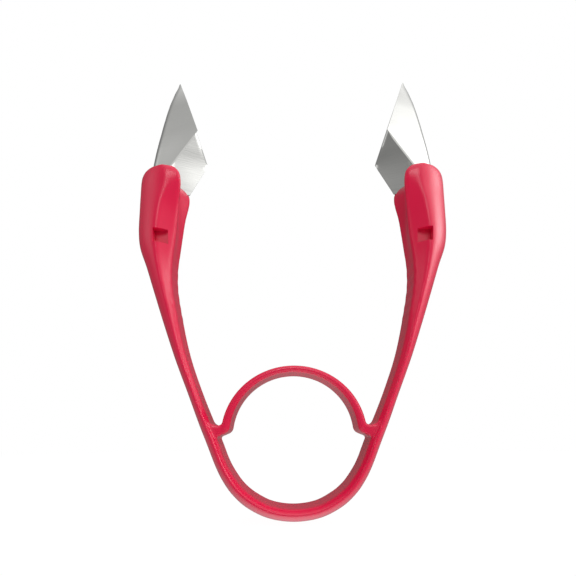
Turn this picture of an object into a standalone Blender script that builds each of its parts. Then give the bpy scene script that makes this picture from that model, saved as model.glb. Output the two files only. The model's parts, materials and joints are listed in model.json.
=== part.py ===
"""Sprung pinching tool: two gouge-shaped steel blades on the arms of a closed spring ring.

The tool stands upright.  +X is to the right, +Z runs from the ring to the blade tips, and the
front faces -Y.  The origin is the lowest point of the ring, at mid-depth.  The two sides mirror
each other.  The plastic moulding flexes, so it is modelled as a bow and an arch, which stay put,
and two handles, which each turn about a spring pivot.
"""

import math

import bmesh
import bpy
from mathutils import Matrix, Vector

MM = 0.001

# Spring pivots: the arms turn about these, and the ring is parted on a circle round them.
PIVOT_X = 16.0 * MM
RING_Z = 27.4 * MM
PART_RADIUS = 12.0 * MM
PART_GAP = 0.4 * MM
FIT_GAP = 0.3 * MM

# The strip runs from the bottom of the bow, round the ring and up the arm to the sleeve's mouth.
# Each station: outer edge (x, z), inner edge (x, z), half-depth of the crest, half-depth of the
# inner wall, where the crest lies between the inner wall (0) and the outer edge (1), and the
# depth of the groove down the inner wall.
STRIP = (
    (0.0, 0.0, 0.0, 4.9, 8.5, 7.5, 0.3, 0.0),
    (8.3, 1.2, 7.0, 5.9, 8.5, 7.5, 0.3, 0.0),
    (15.2, 4.6, 12.5, 8.7, 8.5, 7.5, 0.3, 0.0),
    (19.9, 8.9, 16.2, 11.8, 8.5, 7.4, 0.3, 0.0),
    (23.0, 13.4, 19.0, 15.6, 8.4, 7.3, 0.3, 0.0),
    (25.3, 18.2, 21.3, 19.9, 8.3, 7.2, 0.3, 0.0),
    (27.8, 24.8, 23.7, 26.3, 8.1, 7.0, 0.3, 0.0),
    (30.6, 32.1, 26.7, 33.5, 7.7, 6.5, 0.3, 0.0),
    (33.8, 41.1, 30.1, 42.4, 7.2, 6.1, 0.3, 0.0),
    (37.8, 52.1, 33.7, 53.4, 7.1, 6.0, 0.3, 0.0),
    (41.3, 63.0, 36.1, 64.3, 7.2, 6.0, 0.3, 0.0),
    (44.6, 74.0, 37.8, 75.0, 7.6, 5.7, 0.35, 0.0),
    (46.9, 81.8, 37.8, 82.4, 8.0, 5.4, 0.41, 0.1),
    (48.9, 87.8, 36.9, 88.0, 8.3, 5.2, 0.41, 0.4),
    (49.4, 93.0, 36.1, 93.2, 8.4, 5.3, 0.41, 1.0),
    (49.1, 99.4, 35.3, 99.0, 8.4, 5.9, 0.38, 1.9),
    (48.8, 104.5, 34.4, 104.3, 8.5, 7.3, 0.32, 2.8),
    (48.5, 108.5, 34.2, 107.0, 8.6, 7.9, 0.31, 3.3),
    (48.1, 110.4, 34.6, 109.0, 8.5, 7.9, 0.31, 4.6),
    (47.2, 111.6, 36.0, 110.7, 8.1, 7.4, 0.31, 7.0),
)
STRIP_STEPS = 3
BOW_END = 5.6
HANDLE_START = 4.2

# The strip's half section: a narrow lip and bevel at the inner wall, a flat crest, and two more
# corners, each a share of the way across and of the crest's depth, before the outer edge.
LIP = 0.5 * MM
WALL_BEVEL = 0.05
CREST_FLAT = 0.08
SHOULDER = (0.74, 0.66)
BROW = (0.95, 0.30)

# The arch closes the ring above the bow; its feet stand on the arms.
ARCH_INNER = (20.1 * MM, 20.0 * MM)
ARCH_OUTER = (22.8 * MM, 22.1 * MM)
ARCH_HALF_DEPTH = 6.8 * MM
ARCH_EDGE = 0.7 * MM
ARCH_STEPS = 40
ARCH_TOP = (math.radians(20.0), math.radians(160.0))
ARCH_FLANK = (math.radians(7.0), math.radians(48.0))
ARCH_BEVEL = 0.35
FOOT = (
    (20.2, 30.2),
    (21.0, 29.2),
    (24.2, 27.5),
    (26.2, 27.8),
    (27.4, 32.2),
    (26.0, 32.4),
    (24.9, 30.9),
    (22.6, 30.6),
)

# What an arm's stub loses outside the parting circle: the ends of the bow and of the arch.
STUB_CUTS = ((-95.0, -20.0), (60.0, 115.0))
STUB_CUT_WIDTH = 9.0 * MM
STUB_CUT_STEPS = 24

# A blade is a bent trough of sheet, open towards the other blade.  Its nose curves up to the tip,
# and its edges run straight from the tip to a corner and back into the sleeve, where a narrower
# tang goes on down.  The front edge runs back at 45 degrees, steeper than the rear one.
NOSE = (
    (140.9, 36.1),
    (137.4, 37.6),
    (133.4, 39.1),
    (128.4, 40.7),
    (123.9, 42.0),
    (120.0, 43.1),
    (116.4, 44.0),
    (113.1, 44.7),
    (110.0, 45.2),
    (108.7, 45.3),
    (107.9, 45.4),
    (101.9, 45.6),
)
TIP = (140.9, 35.7, 0.35)
CORNER = (120.0, 28.65, 9.7)
ENTRY = (108.7, 34.4, 6.9)
TANG_TOP = (107.9, 37.4, 6.4)
TANG_END = (101.9, 38.0, 6.2)
TANG_FRONT = 39.2
SHEET = 0.6 * MM
THINNEST = 0.5
BEND = (0.27, 0.72)
BROAD_BEND = (0.09, 0.46)
SLOT_LEVELS = 5

# A square window opens into the front and the back of each sleeve.
WINDOW = Vector((40.7 * MM, 0.0, 89.4 * MM))
WINDOW_SIDE = 4.4 * MM
WINDOW_FLOOR = 4.6 * MM
WINDOW_REACH = 10.0 * MM

CYLINDER_SIDES = 96
SMOOTH_ANGLE = math.radians(35.0)


def clear_scene():
    for thing in list(bpy.data.objects):
        bpy.data.objects.remove(thing)


def make_material(name, colour, roughness, metallic):
    material = bpy.data.materials.new(name)
    material.use_nodes = True
    shader = material.node_tree.nodes["Principled BSDF"]
    shader.inputs["Base Color"].default_value = (*colour, 1.0)
    shader.inputs["Roughness"].default_value = roughness
    shader.inputs["Metallic"].default_value = metallic
    return material


def loft(rings):
    """A closed solid through rings of points, each ring running round the same way."""
    solid = bmesh.new()
    rows = [[solid.verts.new(point) for point in ring] for ring in rings]
    count = len(rows[0])
    for low, high in zip(rows, rows[1:]):
        for i in range(count):
            j = (i + 1) % count
            solid.faces.new((low[i], low[j], high[j], high[i]))
    solid.faces.new(rows[0][::-1])
    solid.faces.new(rows[-1])
    bmesh.ops.recalc_face_normals(solid, faces=solid.faces)
    return solid


def prism(outline, half_depth):
    """An XZ outline carried from -half_depth to +half_depth along Y."""
    return loft([[(x, y, z) for x, z in outline] for y in (-half_depth, half_depth)])


def box(low, high):
    corners = ((low[0], low[2]), (high[0], low[2]), (high[0], high[2]), (low[0], high[2]))
    return loft([[(x, y, z) for x, z in corners] for y in (low[1], high[1])])


def around_pivot(radius, angle):
    return PIVOT_X + radius * math.cos(angle), RING_Z + radius * math.sin(angle)


def parting_cylinder():
    """What the ring pieces lose round the right pivot."""
    turn = 2 * math.pi / CYLINDER_SIDES
    outline = [around_pivot(PART_RADIUS, turn * i) for i in range(CYLINDER_SIDES)]
    return prism(outline, WINDOW_REACH)


def stub_cut(start, end):
    """What an arm's stub loses outside the parting circle, between two angles in degrees."""
    inner = PART_RADIUS - PART_GAP
    outer = PART_RADIUS + STUB_CUT_WIDTH
    shares = [i / STUB_CUT_STEPS for i in range(STUB_CUT_STEPS + 1)]
    angles = [math.radians(start + (end - start) * share) for share in shares]
    outline = [around_pivot(inner, a) for a in angles]
    outline += [around_pivot(outer, a) for a in reversed(angles)]
    return prism(outline, WINDOW_REACH)


def spline(rows, place):
    """The row at a fractional index on a smooth curve through the rows."""
    i = min(int(place), len(rows) - 2)
    t = place - i
    before = rows[i - 1] if i > 0 else mirrored_row(rows[1])
    after = rows[i + 2] if i + 2 < len(rows) else rows[-1]
    result = []
    for p0, p1, p2, p3 in zip(before, rows[i], rows[i + 1], after):
        slope_1 = (p2 - p0) / 2
        slope_2 = (p3 - p1) / 2
        bend_1 = 3 * (p2 - p1) - 2 * slope_1 - slope_2
        bend_2 = slope_1 + slope_2 - 2 * (p2 - p1)
        result.append(p1 + t * (slope_1 + t * (bend_1 + t * bend_2)))
    return result


def mirrored_row(row):
    return (-row[0], row[1], -row[2], *row[3:])


def strip_section(place):
    """The strip's section at a station, with flats on its crests and a groove in its inner wall."""
    side = -1 if place < 0 else 1
    row = spline(STRIP, abs(place))
    outer = Vector((side * row[0], 0.0, row[1])) * MM
    inner = Vector((side * row[2], 0.0, row[3])) * MM
    crest, wall, share, groove = row[4] * MM, row[5] * MM, row[6], row[7] * MM
    half = (
        (0.0, wall - LIP),
        (WALL_BEVEL, wall),
        (share - CREST_FLAT, crest),
        (share + CREST_FLAT, crest),
        (SHOULDER[0], SHOULDER[1] * crest),
        (BROW[0], BROW[1] * crest),
    )
    valley = (groove / (outer - inner).length, 0.0)
    profile = [valley, *[(s, -y) for s, y in half], (1.0, 0.0), *[(s, y) for s, y in half[::-1]]]
    return [inner.lerp(outer, s) + Vector((0.0, y, 0.0)) for s, y in profile]


def strip(start, end):
    count = round((end - start) * STRIP_STEPS)
    return loft([strip_section(start + (end - start) * i / count) for i in range(count + 1)])


def arch_section(angle):
    across, up = math.cos(angle), math.sin(angle)
    inner = Vector((ARCH_INNER[0] * across, 0.0, RING_Z + ARCH_INNER[1] * up))
    outer = Vector((ARCH_OUTER[0] * across, 0.0, RING_Z + ARCH_OUTER[1] * up))
    deep = ARCH_HALF_DEPTH
    shallow = ARCH_HALF_DEPTH - ARCH_EDGE
    profile = ((0, -shallow), (ARCH_BEVEL, -deep), (1 - ARCH_BEVEL, -deep), (1, -shallow))
    profile += tuple((s, -y) for s, y in reversed(profile))
    return [inner.lerp(outer, s) + Vector((0.0, y, 0.0)) for s, y in profile]


def arch(start, end):
    count = max(4, round(ARCH_STEPS * (end - start) / math.pi))
    return loft([arch_section(start + (end - start) * i / count) for i in range(count + 1)])


def foot():
    return prism([(x * MM, z * MM) for x, z in FOOT], ARCH_HALF_DEPTH - ARCH_EDGE)


def between(points, z):
    """The values that go with a height, on straight lines between points listed from the top."""
    for high, low in zip(points, points[1:]):
        if low[0] <= z:
            t = (high[0] - z) / (high[0] - low[0])
            return [a + (b - a) * t for a, b in zip(high[1:], low[1:])]
    return points[-1][1:]


def blade_section(level, grow):
    """The trough at one level, as a closed band of sheet that is thicker by grow on every side."""
    z, nose_x = level
    rear_x, edge_y = between((TIP, CORNER, ENTRY, TANG_TOP, TANG_END), z)
    front_x = max(rear_x, min(TANG_FRONT, CORNER[1] + CORNER[0] - z))
    reach = nose_x - rear_x
    rear = [Vector((rear_x, edge_y))]
    for along, across in (BEND, BROAD_BEND):
        rear.append(Vector((nose_x - along * reach, across * edge_y)))
    edge = rear[0].lerp(rear[1], (front_x - rear_x) / (rear[1].x - rear_x))
    front = [Vector((p.x, -p.y)) for p in (edge, *rear[1:])]
    line = [p * MM for p in (*rear, Vector((nose_x, 0.0)), *reversed(front))]
    thickness = min(SHEET, edge_y * THINNEST * MM)
    outside = offset_line(line, grow, grow)
    inside = offset_line(line, -thickness - grow, grow)
    return [Vector((p.x, p.y, z * MM)) for p in outside + inside[::-1]]


def offset_line(line, amount, ends):
    """The line moved sideways, away from its hollow side, with both its ends drawn out."""
    moved = []
    for i, point in enumerate(line):
        before = (point - line[i - 1]).normalized() if i > 0 else None
        after = (line[i + 1] - point).normalized() if i + 1 < len(line) else None
        along = ((before or after) + (after or before)).normalized()
        sideways = Vector((along.y, -along.x)) * -1
        stretch = 1 / max(0.5, along.dot(before or after))
        shift = sideways * amount * stretch
        if before is None:
            shift -= along * ends
        if after is None:
            shift += along * ends
        moved.append(point + shift)
    return moved


def blade():
    return loft([blade_section(level, 0.0) for level in NOSE])


def blade_slot():
    """The slot that the sleeve keeps round the hidden end of the blade."""
    rings = [blade_section(level, FIT_GAP) for level in NOSE[-SLOT_LEVELS:]]
    floor = [point - Vector((0.0, 0.0, FIT_GAP)) for point in rings[-1]]
    return loft([*rings[:-1], floor])


def windows():
    half = WINDOW_SIDE / 2
    for near, far in ((-WINDOW_REACH, -WINDOW_FLOOR), (WINDOW_FLOOR, WINDOW_REACH)):
        yield box((WINDOW.x - half, near, WINDOW.z - half), (WINDOW.x + half, far, WINDOW.z + half))


def flipped(solid):
    """The same solid on the other side of the tool."""
    bmesh.ops.transform(solid, matrix=Matrix.Diagonal((-1, 1, 1, 1)), verts=solid.verts)
    bmesh.ops.reverse_faces(solid, faces=solid.faces)
    return solid


def make_object(name, solid):
    mesh = bpy.data.meshes.new(name)
    solid.to_mesh(mesh)
    solid.free()
    thing = bpy.data.objects.new(name, mesh)
    bpy.context.scene.collection.objects.link(thing)
    return thing


def combine(thing, solid, operation):
    """Join a solid to an object, or cut it away, and keep the result as plain mesh."""
    tool = make_object("tool", solid)
    modifier = thing.modifiers.new("combine", "BOOLEAN")
    modifier.object = tool
    modifier.operation = operation
    modifier.solver = "EXACT"
    bpy.context.view_layer.update()
    graph = bpy.context.evaluated_depsgraph_get()
    result = bpy.data.meshes.new_from_object(thing.evaluated_get(graph))
    thing.modifiers.clear()
    thing.data = result
    thing.data.name = thing.name
    bpy.data.objects.remove(tool)


def finish(thing, material, pivot):
    """Give an object its material, smooth shading and, on an arm, its place on the pivot."""
    thing.data.materials.clear()
    thing.data.materials.append(material)
    thing.data.shade_smooth()
    thing.data.set_sharp_from_angle(angle=SMOOTH_ANGLE)
    if pivot:
        thing.data.transform(Matrix.Translation(-pivot.location))
        thing.parent = pivot


def make_pivot(name, x):
    pivot = bpy.data.objects.new(name, None)
    pivot.location = (x, 0.0, RING_Z)
    bpy.context.scene.collection.objects.link(pivot)
    return pivot


def make_ring(plastic):
    bow = make_object("spring_bow", strip(-BOW_END, BOW_END))
    top = make_object("spring_arch", arch(*ARCH_TOP))
    for thing in (bow, top):
        combine(thing, parting_cylinder(), "DIFFERENCE")
        combine(thing, flipped(parting_cylinder()), "DIFFERENCE")
        finish(thing, plastic, None)


def make_handle(name, plastic, pivot, side):
    handle = make_object(name, side(strip(HANDLE_START, len(STRIP) - 1)))
    combine(handle, side(arch(*ARCH_FLANK)), "UNION")
    combine(handle, side(foot()), "UNION")
    cutters = [stub_cut(*angles) for angles in STUB_CUTS]
    for cutter in (*cutters, blade_slot(), *windows()):
        combine(handle, side(cutter), "DIFFERENCE")
    finish(handle, plastic, pivot)


def main():
    clear_scene()
    plastic = make_material("red_plastic", (0.66, 0.02, 0.06), 0.3, 0.0)
    steel = make_material("blade_steel", (0.62, 0.62, 0.6), 0.2, 1.0)
    make_ring(plastic)
    for word, sign, side in (("left", -1, flipped), ("right", 1, lambda solid: solid)):
        pivot = make_pivot(word + "_pivot", sign * PIVOT_X)
        make_handle(word + "_handle", plastic, pivot, side)
        finish(make_object(word + "_blade", side(blade())), steel, pivot)


main()
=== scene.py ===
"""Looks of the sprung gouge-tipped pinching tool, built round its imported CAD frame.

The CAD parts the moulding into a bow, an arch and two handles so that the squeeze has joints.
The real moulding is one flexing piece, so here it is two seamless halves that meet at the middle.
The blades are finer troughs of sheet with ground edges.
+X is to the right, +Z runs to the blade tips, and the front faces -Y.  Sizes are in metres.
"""

import json
import math

import bmesh
import bpy
from mathutils import Matrix, Vector

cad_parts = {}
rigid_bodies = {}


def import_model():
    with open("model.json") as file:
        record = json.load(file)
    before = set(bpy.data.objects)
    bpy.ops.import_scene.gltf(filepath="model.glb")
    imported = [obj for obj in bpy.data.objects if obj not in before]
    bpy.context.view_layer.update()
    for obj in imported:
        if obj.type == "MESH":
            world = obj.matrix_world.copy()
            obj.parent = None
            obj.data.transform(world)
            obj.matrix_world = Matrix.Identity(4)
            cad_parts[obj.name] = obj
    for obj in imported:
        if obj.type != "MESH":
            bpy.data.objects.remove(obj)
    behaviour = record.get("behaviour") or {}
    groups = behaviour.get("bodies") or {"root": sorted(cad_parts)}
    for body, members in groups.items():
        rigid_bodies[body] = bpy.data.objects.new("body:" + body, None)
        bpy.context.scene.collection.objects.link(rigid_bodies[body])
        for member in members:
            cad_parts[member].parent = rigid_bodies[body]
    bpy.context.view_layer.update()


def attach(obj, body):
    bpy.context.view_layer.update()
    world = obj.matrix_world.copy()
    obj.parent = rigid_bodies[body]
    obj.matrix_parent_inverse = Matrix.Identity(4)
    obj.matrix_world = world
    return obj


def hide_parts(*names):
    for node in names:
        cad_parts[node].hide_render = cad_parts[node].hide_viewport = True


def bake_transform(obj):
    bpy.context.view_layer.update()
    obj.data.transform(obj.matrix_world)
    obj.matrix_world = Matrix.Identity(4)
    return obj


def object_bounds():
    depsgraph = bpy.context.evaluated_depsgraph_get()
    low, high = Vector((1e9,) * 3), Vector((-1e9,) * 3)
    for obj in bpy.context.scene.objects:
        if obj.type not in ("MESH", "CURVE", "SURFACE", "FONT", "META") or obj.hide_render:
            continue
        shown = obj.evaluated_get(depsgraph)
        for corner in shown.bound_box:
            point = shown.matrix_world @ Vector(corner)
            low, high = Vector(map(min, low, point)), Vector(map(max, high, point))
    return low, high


MM = 0.001

# The strip's stations, from the bottom of the bow, round the ring and up the arm to the sleeve's
# mouth: outer edge (x, z), inner edge (x, z), half-depth of the crest, half-depth of the inner
# wall, where the crest lies between the inner wall (0) and the outer edge (1), and the depth of
# the groove down the inner wall.
STRIP = (
    (0.0, 0.0, 0.0, 4.9, 8.5, 7.5, 0.3, 0.0),
    (8.3, 1.2, 7.0, 5.9, 8.5, 7.5, 0.3, 0.0),
    (15.2, 4.6, 12.5, 8.7, 8.5, 7.5, 0.3, 0.0),
    (19.9, 8.9, 16.2, 11.8, 8.5, 7.4, 0.3, 0.0),
    (23.0, 13.4, 19.0, 15.6, 8.4, 7.3, 0.3, 0.0),
    (25.3, 18.2, 21.3, 19.9, 8.3, 7.2, 0.3, 0.0),
    (27.8, 24.8, 23.7, 26.3, 8.1, 7.0, 0.3, 0.0),
    (30.6, 32.1, 26.7, 33.5, 7.7, 6.5, 0.3, 0.0),
    (33.8, 41.1, 30.1, 42.4, 7.2, 6.1, 0.3, 0.0),
    (37.8, 52.1, 33.7, 53.4, 7.1, 6.0, 0.3, 0.0),
    (41.3, 63.0, 36.1, 64.3, 7.2, 6.0, 0.3, 0.0),
    (44.6, 74.0, 37.8, 75.0, 7.6, 5.7, 0.35, 0.0),
    (46.9, 81.8, 37.8, 82.4, 8.0, 5.4, 0.41, 0.1),
    (48.9, 87.8, 36.9, 88.0, 8.3, 5.2, 0.41, 0.4),
    (49.4, 93.0, 36.1, 93.2, 8.4, 5.3, 0.41, 1.0),
    (49.1, 99.4, 35.3, 99.0, 8.4, 5.9, 0.38, 1.9),
    (48.8, 104.5, 34.4, 104.3, 8.5, 7.3, 0.32, 2.8),
    (48.5, 108.5, 34.2, 107.0, 8.6, 7.9, 0.31, 3.3),
    (48.1, 110.4, 34.6, 109.0, 8.5, 7.9, 0.31, 4.6),
    (47.2, 111.6, 36.0, 110.7, 8.1, 7.4, 0.31, 7.0),
)
STRIP_STEPS = 12
PAST_MIDDLE = 0.5
LIP = 0.8 * MM
LIP_BEVEL = 0.7 * MM
LIP_ROUND = 0.8 * MM
CREST_ROUND = 1.2 * MM
VALLEY_ROUND = 2.0 * MM
OUTSIDE_POINTS = 12
OUTSIDE_CURVE = (1.45, 0.6)
CURVE_POINTS = 5
LONGEST_CUT = 0.48

# Shallow grip ripples along the inner wall below each sleeve.
RIPPLE_PITCH = 3.5 * MM
RIPPLE_HEIGHT = 0.14 * MM
RIPPLE_SPAN = (62 * MM, 67 * MM, 82 * MM, 88 * MM)

# The arch that closes the ring, and the foot that ties it to the arm.
RING_Z = 27.4 * MM
ARCH_INNER = (20.1 * MM, 20.0 * MM)
ARCH_OUTER = (22.8 * MM, 22.1 * MM)
ARCH_HALF_DEPTH = 6.8 * MM
ARCH_EDGE = 0.7 * MM
ARCH_FLAT = (0.3, 0.7)
ARCH_ROUND = 0.5 * MM
ARCH_SPAN = (math.radians(7.0), math.radians(100.0))
ARCH_STEPS = 90
FOOT = (
    (19.9, 30.9),
    (20.2, 29.4),
    (20.8, 28.7),
    (22.1, 28.1),
    (23.5, 27.6),
    (24.2, 26.9),
    (24.9, 25.9),
    (27.8, 33.2),
    (26.8, 33.0),
    (26.2, 32.0),
    (25.3, 31.3),
    (24.2, 31.0),
    (23.1, 31.0),
    (22.4, 31.4),
    (22.1, 32.2),
    (21.4, 32.4),
)

# Square windows in the front and the back of each sleeve.
WINDOW_X = 40.7 * MM
WINDOW_Z = 89.4 * MM
WINDOW_SIDE = 4.2 * MM
WINDOW_FLOOR = 5.2 * MM
WINDOW_REACH = 12.0 * MM

# The moulding's skin: its voxel size, smoothing steps and the angle above which edges stay sharp.
VOXEL = 0.25 * MM
SMOOTH_STEPS = 14
MOULDING_SHARP = math.radians(40)

# A blade's nose curves up to the tip, and its rear edge runs straight from the tip to a corner and
# back into the sleeve, where a narrower tang goes on down.  Each point: z, x in millimetres.
NOSE = (
    (140.9, 36.1),
    (137.4, 37.6),
    (133.4, 39.1),
    (128.4, 40.7),
    (123.9, 42.0),
    (120.0, 43.1),
    (116.4, 44.0),
    (113.1, 44.7),
    (110.0, 45.2),
    (108.7, 45.3),
    (107.9, 45.4),
    (101.9, 45.6),
)
REAR_EDGE = ((140.9, 35.7), (120.0, 28.65), (108.7, 34.4), (107.9, 37.4), (101.9, 38.0))
CORNER_Z = 120.0
FRONT_RISE = 1.16
TANG_FRONT = 39.2
NOSE_RADIUS = 4.0
WING_SLOPE = 0.5
TIP_WIDTH = 0.2
TIP_LENGTH = 11.0
MOUTH_WIDTH = 0.88
MOUTH_SPAN = (108.0, 122.0)
BLADE_STEPS = 6
TROUGH_POINTS = 24
ARC_POINTS = 16
SHEET = 0.6 * MM
SHARP = 0.12 * MM
THINNEST = 0.5
GRIND_WIDTH = 0.7 * MM
GRIND_FADE = (118.0, 120.0)
BLADE_SHARP = math.radians(30)

# The floor is a disc just under the tool, bright enough to read as white paper.
FLOOR_RADIUS = 0.6
FLOOR_DROP = 0.2 * MM
FLOOR_GLOW = 0.985

# The camera is square to the tool, low and a little to the left, with its frame moved up.
CAMERA = Vector((-3.0 * MM, -150.0 * MM, 28.7 * MM))
CAMERA_ROLL = math.radians(0.35)
CAMERA_LENS = 29.08
CAMERA_SHIFT = (0.0064, 0.2508)

# The studio's soft lights.  Each has a bearing and a height in degrees (bearing 0 is in front of
# the tool, 90 to its right and 180 behind it), a sharpness and a brightness.
LIGHTS = {
    "softbox right": (90, 20, 25, 6.0),
    "softbox front right": (50, 30, 30, 1.0),
    "softbox in front": (0, 30, 50, 5.0),
    "wall left": (280, 20, 20, 1.0),
    "ceiling": (45, 70, 3, 1.6),
    "table": (0, -90, 2.5, 2.2),
}


def spline(rows, place, before_first):
    """The row at a fractional index on a smooth curve through the rows."""
    i = max(0, min(int(place), len(rows) - 2))
    t = place - i
    before = rows[i - 1] if i > 0 else before_first
    after = rows[i + 2] if i + 2 < len(rows) else rows[-1]
    result = []
    for p0, p1, p2, p3 in zip(before, rows[i], rows[i + 1], after):
        slope_1 = (p2 - p0) / 2
        slope_2 = (p3 - p1) / 2
        bend_1 = 3 * (p2 - p1) - 2 * slope_1 - slope_2
        bend_2 = slope_1 + slope_2 - 2 * (p2 - p1)
        result.append(p1 + t * (slope_1 + t * (bend_1 + t * bend_2)))
    return result


def mirrored_row(row):
    return (-row[0], row[1], -row[2], *row[3:])


def smoothstep(value, low, high):
    t = max(0.0, min(1.0, (value - low) / (high - low)))
    return t * t * (3 - 2 * t)


def soften(corners, cuts):
    """A closed outline whose corners are rounded, each starting its curve at most its cut away."""
    outline = []
    for i, corner in enumerate(corners):
        before, after = corners[i - 1], corners[(i + 1) % len(corners)]
        back = min(cuts[i], LONGEST_CUT * (before - corner).length)
        ahead = min(cuts[i], LONGEST_CUT * (after - corner).length)
        start = corner + (before - corner).normalized() * back
        end = corner + (after - corner).normalized() * ahead
        for step in range(CURVE_POINTS):
            t = step / (CURVE_POINTS - 1)
            outline.append(start * (1 - t) ** 2 + corner * 2 * t * (1 - t) + end * t * t)
    return outline


def loft(rings):
    """A closed solid through rings of points, each ring running round the same way."""
    solid = bmesh.new()
    rows = [[solid.verts.new(point) for point in ring] for ring in rings]
    count = len(rows[0])
    for low, high in zip(rows, rows[1:]):
        for i in range(count):
            j = (i + 1) % count
            solid.faces.new((low[i], low[j], high[j], high[i]))
    solid.faces.new(rows[0][::-1])
    solid.faces.new(rows[-1])
    bmesh.ops.recalc_face_normals(solid, faces=solid.faces)
    return solid


def make_object(name, solid):
    mesh = bpy.data.meshes.new(name)
    solid.to_mesh(mesh)
    solid.free()
    thing = bpy.data.objects.new(name, mesh)
    bpy.context.scene.collection.objects.link(thing)
    return thing


def settle(thing):
    """Turn an object's modifiers into plain mesh."""
    bpy.context.view_layer.update()
    graph = bpy.context.evaluated_depsgraph_get()
    result = bpy.data.meshes.new_from_object(thing.evaluated_get(graph))
    thing.modifiers.clear()
    old = thing.data
    thing.data = result
    bpy.data.meshes.remove(old)


# ---------------------------------------------------------------- the moulding


def ripple(z):
    low, low_full, high_full, high = RIPPLE_SPAN
    share = smoothstep(z, low, low_full) * (1 - smoothstep(z, high_full, high))
    return RIPPLE_HEIGHT * share * (0.5 + 0.5 * math.cos(2 * math.pi * z / RIPPLE_PITCH))


def strip_section(place):
    """The strip's section: a grooved inner wall, rounded lips and crests, and a curved outside."""
    side = -1 if place < 0 else 1
    row = spline(STRIP, abs(place), mirrored_row(STRIP[1]))
    outer = Vector((side * row[0], 0.0, row[1])) * MM
    inner = Vector((side * row[2], 0.0, row[3])) * MM
    crest, wall, share, groove = row[4] * MM, row[5] * MM, row[6], row[7] * MM
    thick = (outer - inner).length
    half = [
        (-ripple(inner.z), wall - LIP, LIP_ROUND),
        (LIP_BEVEL, wall, LIP_ROUND),
        (share * thick, crest, CREST_ROUND),
    ]
    bulge, close = OUTSIDE_CURVE
    for step in range(1, OUTSIDE_POINTS):
        t = math.sin(0.5 * math.pi * step / OUTSIDE_POINTS)
        half.append(((share + (1 - share) * t) * thick, crest * (1 - t**bulge) ** close, thick))
    ends = [(groove - ripple(inner.z), 0.0, VALLEY_ROUND), (thick, 0.0, thick)]
    outline = [ends[0], *[(a, -y, cut) for a, y, cut in half], ends[1], *half[::-1]]
    corners = [Vector((a, y)) for a, y, _ in outline]
    outward = (outer - inner).normalized()
    points = soften(corners, [cut for _, _, cut in outline])
    return [inner + outward * p.x + Vector((0.0, p.y, 0.0)) for p in points]


def strip_solid():
    last = len(STRIP) - 1
    count = round((last + PAST_MIDDLE) * STRIP_STEPS)
    places = [-PAST_MIDDLE + (last + PAST_MIDDLE) * i / count for i in range(count + 1)]
    return loft([strip_section(place) for place in places])


def arch_section(angle):
    across, up = math.cos(angle), math.sin(angle)
    inner = Vector((ARCH_INNER[0] * across, 0.0, RING_Z + ARCH_INNER[1] * up))
    outer = Vector((ARCH_OUTER[0] * across, 0.0, RING_Z + ARCH_OUTER[1] * up))
    thick = (outer - inner).length
    deep, shallow = ARCH_HALF_DEPTH, ARCH_HALF_DEPTH - ARCH_EDGE
    near, far = ARCH_FLAT
    half = ((0.0, shallow), (near * thick, deep), (far * thick, deep), (thick, shallow))
    corners = [Vector((a, -y)) for a, y in half] + [Vector((a, y)) for a, y in reversed(half)]
    outline = soften(corners, [ARCH_ROUND] * len(corners))
    outward = (outer - inner).normalized()
    return [inner + outward * p.x + Vector((0.0, p.y, 0.0)) for p in outline]


def arch_solid():
    start, end = ARCH_SPAN
    return loft([arch_section(start + (end - start) * i / ARCH_STEPS) for i in range(ARCH_STEPS + 1)])


def foot_solid():
    depth = ARCH_HALF_DEPTH - ARCH_EDGE / 2
    return loft([[Vector((x * MM, y, z * MM)) for x, z in FOOT] for y in (-depth, depth)])


def window_solid(near, far):
    half = WINDOW_SIDE / 2
    corners = ((-half, -half), (half, -half), (half, half), (-half, half))
    return loft([[Vector((WINDOW_X + x, y, WINDOW_Z + z)) for x, z in corners] for y in (near, far)])


def cut_windows(thing):
    for near, far in ((-WINDOW_REACH, -WINDOW_FLOOR), (WINDOW_FLOOR, WINDOW_REACH)):
        cutter = make_object("cutter", window_solid(near, far))
        modifier = thing.modifiers.new("window", "BOOLEAN")
        modifier.object = cutter
        modifier.operation = "DIFFERENCE"
        settle(thing)
        bpy.data.objects.remove(cutter)


def join_meshes(thing, *solids):
    whole = bmesh.new()
    whole.from_mesh(thing.data)
    for solid in solids:
        part = bpy.data.meshes.new("part")
        solid.to_mesh(part)
        solid.free()
        whole.from_mesh(part)
        bpy.data.meshes.remove(part)
    whole.to_mesh(thing.data)
    whole.free()


def relax(thing):
    """Take the steps out of the remeshed skin and round its corners."""
    skin = bmesh.new()
    skin.from_mesh(thing.data)
    for _ in range(SMOOTH_STEPS):
        bmesh.ops.smooth_vert(
            skin, verts=skin.verts, factor=0.5, use_axis_x=True, use_axis_y=True, use_axis_z=True
        )
    skin.to_mesh(thing.data)
    skin.free()


def trim_at_middle(thing):
    """Cut the half off flush at X = 0 and close it there."""
    skin = bmesh.new()
    skin.from_mesh(thing.data)
    everything = skin.verts[:] + skin.edges[:] + skin.faces[:]
    cut = bmesh.ops.bisect_plane(
        skin, geom=everything, plane_co=(0, 0, 0), plane_no=(1, 0, 0), clear_inner=True
    )
    rim = [item for item in cut["geom_cut"] if isinstance(item, bmesh.types.BMEdge)]
    bmesh.ops.holes_fill(skin, edges=rim, sides=0)
    skin.to_mesh(thing.data)
    skin.free()


def mirrored_copy(thing, name):
    solid = bmesh.new()
    solid.from_mesh(thing.data)
    bmesh.ops.transform(solid, matrix=Matrix.Diagonal((-1, 1, 1, 1)), verts=solid.verts)
    bmesh.ops.reverse_faces(solid, faces=solid.faces)
    return make_object(name, solid)


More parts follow.
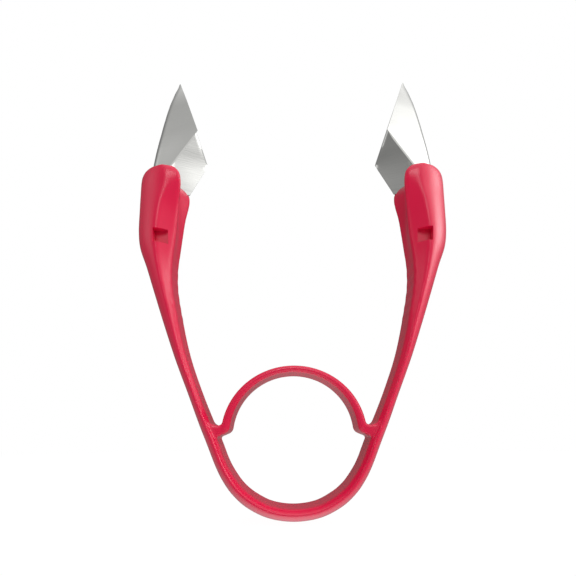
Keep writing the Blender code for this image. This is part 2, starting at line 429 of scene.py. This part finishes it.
def make_moulding(material):
    right = make_object("moulding_right", strip_solid())
    join_meshes(right, arch_solid(), foot_solid())
    remesh = right.modifiers.new("remesh", "REMESH")
    remesh.mode = "VOXEL"
    remesh.voxel_size = VOXEL
    settle(right)
    relax(right)
    trim_at_middle(right)
    cut_windows(right)
    right.data.shade_smooth()
    right.data.set_sharp_from_angle(angle=MOULDING_SHARP)
    left = mirrored_copy(right, "moulding_left")
    for thing, side in ((left, -1), (right, 1)):
        thing.data.materials.clear()
        thing.data.materials.append(material)
        name = "left" if side < 0 else "right"
        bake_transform(thing)
        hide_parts(name + "_handle", "spring_bow", "spring_arch")


# ---------------------------------------------------------------- the blades


def between(points, z):
    """The values that go with a height, on straight lines between points listed from the top."""
    for high, low in zip(points, points[1:]):
        if low[0] <= z:
            t = (high[0] - z) / (high[0] - low[0])
            return [a + (b - a) * t for a, b in zip(high[1:], low[1:])]
    return points[-1][1:]


def trough_width(z):
    """How wide the trough is at a height, against its full section: it narrows to both ends."""
    from_tip = max(0.0, min(1.0, (REAR_EDGE[0][0] - z) / TIP_LENGTH))
    to_tip = TIP_WIDTH + (1 - TIP_WIDTH) * math.sin(0.5 * math.pi * from_tip)
    return to_tip * (MOUTH_WIDTH + (1 - MOUTH_WIDTH) * smoothstep(z, *MOUTH_SPAN))


def wing_line(z, nose_x, edge_x):
    """The outer side of one wing at one level: straight from its edge, then round to the nose."""
    width = trough_width(z)
    lean = math.atan(WING_SLOPE)
    straight_from = NOSE_RADIUS * (1 - math.sin(lean))
    reach = nose_x - edge_x
    points = []
    if reach > straight_from:
        depth = NOSE_RADIUS * math.cos(lean) + (reach - straight_from) * WING_SLOPE
        points.append(Vector((edge_x, width * depth)))
    sweep = math.acos(1 - min(reach, straight_from) / NOSE_RADIUS)
    for step in range(ARC_POINTS + 1):
        angle = sweep * (1 - step / ARC_POINTS)
        x = nose_x - NOSE_RADIUS * (1 - math.cos(angle))
        points.append(Vector((x, width * NOSE_RADIUS * math.sin(angle))))
    return even_line([p * MM for p in points], TROUGH_POINTS)


def trough_line(z, nose_x):
    """The outer side of the sheet at one level, from the rear edge round the nose to the front."""
    rear_x = between(REAR_EDGE, z)[0]
    front_x = REAR_EDGE[1][1] + FRONT_RISE * (CORNER_Z - z)
    rear = wing_line(z, nose_x, rear_x)
    front = wing_line(z, nose_x, max(rear_x, min(TANG_FRONT, front_x)))
    return rear + [Vector((p.x, -p.y)) for p in reversed(front[:-1])]


def even_line(points, count):
    """The same path as a fixed number of equal steps."""
    lengths = [0.0]
    for a, b in zip(points, points[1:]):
        lengths.append(lengths[-1] + (b - a).length)
    line = []
    for k in range(count + 1):
        target = lengths[-1] * k / count
        i = max(j for j in range(len(points) - 1) if lengths[j] <= target + 1e-12)
        span = lengths[i + 1] - lengths[i]
        line.append(points[i].lerp(points[i + 1], min(1.0, (target - lengths[i]) / span)))
    return line


def blade_section(z, nose_x):
    """A closed band of sheet.  Above the corner its edges are ground thin from the hollow side."""
    line = trough_line(z, nose_x)
    full = min(SHEET, THINNEST * line[0].y)
    thin = full + (min(SHARP, full) - full) * smoothstep(z, *GRIND_FADE)
    inside = []
    for i, point in enumerate(line):
        along = (line[min(i + 1, len(line) - 1)] - line[max(i - 1, 0)]).normalized()
        sideways = Vector((along.y, -along.x))
        to_edge = min((point - line[0]).length, (point - line[-1]).length)
        share = min(1.0, to_edge / GRIND_WIDTH)
        inside.append(point + sideways * (thin + (full - thin) * share))
    return [Vector((p.x, p.y, z * MM)) for p in line + inside[::-1]]


def blade_levels():
    """Heights down the blade and the nose there, with a step on every corner of the outline."""
    corners = sorted({row[0] for row in (*NOSE, *REAR_EDGE)}, reverse=True)
    heights = []
    for high, low in zip(corners, corners[1:]):
        heights += [high + (low - high) * step / BLADE_STEPS for step in range(BLADE_STEPS)]
    places = [row[0] for row in NOSE]
    for z in [*heights, corners[-1]]:
        i = max(k for k in range(len(places) - 1) if places[k] >= z)
        t = (places[i] - z) / (places[i] - places[i + 1])
        yield z, spline(NOSE, i + t, NOSE[0])[1]


def make_blades(material):
    rings = [blade_section(z, nose_x) for z, nose_x in blade_levels()]
    right = make_object("gouge_right", loft(rings))
    left = mirrored_copy(right, "gouge_left")
    for thing, side in ((left, "left"), (right, "right")):
        thing.data.materials.append(material)
        thing.data.shade_smooth()
        thing.data.set_sharp_from_angle(angle=BLADE_SHARP)
        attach(thing, side + "_arm")
        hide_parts(side + "_blade")


# ---------------------------------------------------------------- materials


def new_material(name):
    material = bpy.data.materials.new(name)
    material.use_nodes = True
    return material, material.node_tree, material.node_tree.nodes["Principled BSDF"]


def noise(tree, scale, detail, vector):
    node = tree.nodes.new("ShaderNodeTexNoise")
    node.inputs["Scale"].default_value = scale
    node.inputs["Detail"].default_value = detail
    tree.links.new(vector, node.inputs["Vector"])
    return node.outputs["Fac"]


def remap(tree, value, low, high):
    node = tree.nodes.new("ShaderNodeMapRange")
    node.inputs["To Min"].default_value = low
    node.inputs["To Max"].default_value = high
    tree.links.new(value, node.inputs["Value"])
    return node.outputs["Result"]


def red_plastic():
    """Glossy polypropylene: one deep red with faint flow clouds, a little uneven in its gloss."""
    material, tree, shader = new_material("red_plastic")
    place = tree.nodes.new("ShaderNodeTexCoord").outputs["Object"]
    colour = tree.nodes.new("ShaderNodeMix")
    colour.data_type = "RGBA"
    colour.inputs[6].default_value = (0.68, 0.0035, 0.050, 1)
    colour.inputs[7].default_value = (0.75, 0.0055, 0.060, 1)
    tree.links.new(noise(tree, 60, 2, place), colour.inputs[0])
    tree.links.new(colour.outputs[2], shader.inputs["Base Color"])
    shader.inputs["Specular IOR Level"].default_value = 0.42
    tree.links.new(remap(tree, noise(tree, 120, 0, place), 0.22, 0.28), shader.inputs["Roughness"])
    return material


def blade_steel():
    """Polished stainless sheet with fine slanting brush marks."""
    material, tree, shader = new_material("blade_steel")
    shader.inputs["Metallic"].default_value = 1.0
    shader.inputs["Base Color"].default_value = (0.62, 0.62, 0.60, 1)
    place = tree.nodes.new("ShaderNodeTexCoord").outputs["Object"]
    turn = tree.nodes.new("ShaderNodeMapping")
    turn.inputs["Rotation"].default_value = (0, math.radians(32), 0)
    turn.inputs["Scale"].default_value = (150, 400, 3500)
    tree.links.new(place, turn.inputs["Vector"])
    brush = noise(tree, 1, 3, turn.outputs["Vector"])
    tree.links.new(remap(tree, brush, 0.06, 0.2), shader.inputs["Roughness"])
    bump = tree.nodes.new("ShaderNodeBump")
    bump.inputs["Strength"].default_value = 0.4
    bump.inputs["Distance"].default_value = 0.04 * MM
    tree.links.new(brush, bump.inputs["Height"])
    waves = tree.nodes.new("ShaderNodeBump")
    waves.inputs["Strength"].default_value = 1.0
    waves.inputs["Distance"].default_value = 0.1 * MM
    tree.links.new(noise(tree, 110, 0, place), waves.inputs["Height"])
    tree.links.new(waves.outputs["Normal"], bump.inputs["Normal"])
    tree.links.new(bump.outputs["Normal"], shader.inputs["Normal"])
    return material


# ---------------------------------------------------------------- the studio


def make_floor():
    solid = bmesh.new()
    bmesh.ops.create_circle(solid, cap_ends=True, radius=FLOOR_RADIUS, segments=96)
    floor = make_object("floor", solid)
    floor.location.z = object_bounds()[0].z - FLOOR_DROP
    material, _, shader = new_material("floor_paper")
    shader.inputs["Base Color"].default_value = (0.03, 0.03, 0.03, 1)
    shader.inputs["Roughness"].default_value = 1.0
    shader.inputs["Specular IOR Level"].default_value = 0.0
    shader.inputs["Emission Color"].default_value = (1, 1, 1, 1)
    shader.inputs["Emission Strength"].default_value = FLOOR_GLOW
    floor.data.materials.append(material)
    floor.visible_diffuse = False
    floor.visible_glossy = False


def calculate(tree, operation, value, factor):
    node = tree.nodes.new("ShaderNodeMath")
    node.operation = operation
    node.inputs[1].default_value = factor
    tree.links.new(value, node.inputs[0])
    return node.outputs[0]


def soft_light(tree, direction, bearing, height, sharpness, brightness):
    """One soft-edged part of the world's light, brightest in one direction."""
    turn, tilt = math.radians(bearing), math.radians(height)
    aim = (math.sin(turn) * math.cos(tilt), -math.cos(turn) * math.cos(tilt), math.sin(tilt))
    dot = tree.nodes.new("ShaderNodeVectorMath")
    dot.operation = "DOT_PRODUCT"
    dot.inputs[1].default_value = aim
    tree.links.new(direction, dot.inputs[0])
    value = calculate(tree, "SUBTRACT", dot.outputs["Value"], 1.0)
    value = calculate(tree, "MULTIPLY", value, sharpness)
    fade = tree.nodes.new("ShaderNodeMath")
    fade.operation = "EXPONENT"
    tree.links.new(value, fade.inputs[0])
    return calculate(tree, "MULTIPLY", fade.outputs[0], brightness)


def make_world():
    """White to the camera; round the object, a few soft lights in a dim studio."""
    world = bpy.data.worlds.new("studio")
    bpy.context.scene.world = world
    world.use_nodes = True
    tree = world.node_tree
    shown = tree.nodes["Background"]
    shown.inputs["Color"].default_value = (1, 1, 1, 1)
    around = tree.nodes.new("ShaderNodeBackground")
    direction = tree.nodes.new("ShaderNodeTexCoord").outputs["Generated"]
    total = None
    for light in LIGHTS.values():
        value = soft_light(tree, direction, *light)
        if total is not None:
            add = tree.nodes.new("ShaderNodeMath")
            tree.links.new(total, add.inputs[0])
            tree.links.new(value, add.inputs[1])
            value = add.outputs[0]
        total = value
    tree.links.new(total, around.inputs["Color"])
    mix = tree.nodes.new("ShaderNodeMixShader")
    seen = tree.nodes.new("ShaderNodeLightPath").outputs["Is Camera Ray"]
    tree.links.new(seen, mix.inputs["Fac"])
    tree.links.new(around.outputs["Background"], mix.inputs[1])
    tree.links.new(shown.outputs["Background"], mix.inputs[2])
    tree.links.new(mix.outputs["Shader"], tree.nodes["World Output"].inputs["Surface"])


def shift_driver(camera, path, amount):
    """The frame is moved only while the camera stands in its own place."""
    curve = camera.data.driver_add(path)
    curve.driver.type = "SCRIPTED"
    terms = []
    for axis, home in zip("xyz", CAMERA):
        variable = curve.driver.variables.new()
        variable.name = axis
        variable.targets[0].id = camera
        variable.targets[0].data_path = f"location.{axis}"
        terms.append(f"abs({axis} - ({home:.4f}))")
    curve.driver.expression = f"{amount} if {' + '.join(terms)} < 0.0005 else 0.0"


def make_camera():
    data = bpy.data.cameras.new("camera")
    camera = bpy.data.objects.new("camera", data)
    camera.location = CAMERA
    camera.rotation_euler = (math.radians(90), CAMERA_ROLL, 0)
    data.lens = CAMERA_LENS
    data.clip_start = 0.01
    bpy.context.scene.collection.objects.link(camera)
    bpy.context.scene.camera = camera
    for path, amount in zip(("shift_x", "shift_y"), CAMERA_SHIFT):
        shift_driver(camera, path, amount)


def main():
    for thing in list(bpy.data.objects):
        bpy.data.objects.remove(thing)
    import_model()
    make_moulding(red_plastic())
    make_blades(blade_steel())
    make_floor()
    make_world()
    make_camera()
    bpy.context.scene.view_settings.view_transform = "Standard"


main()
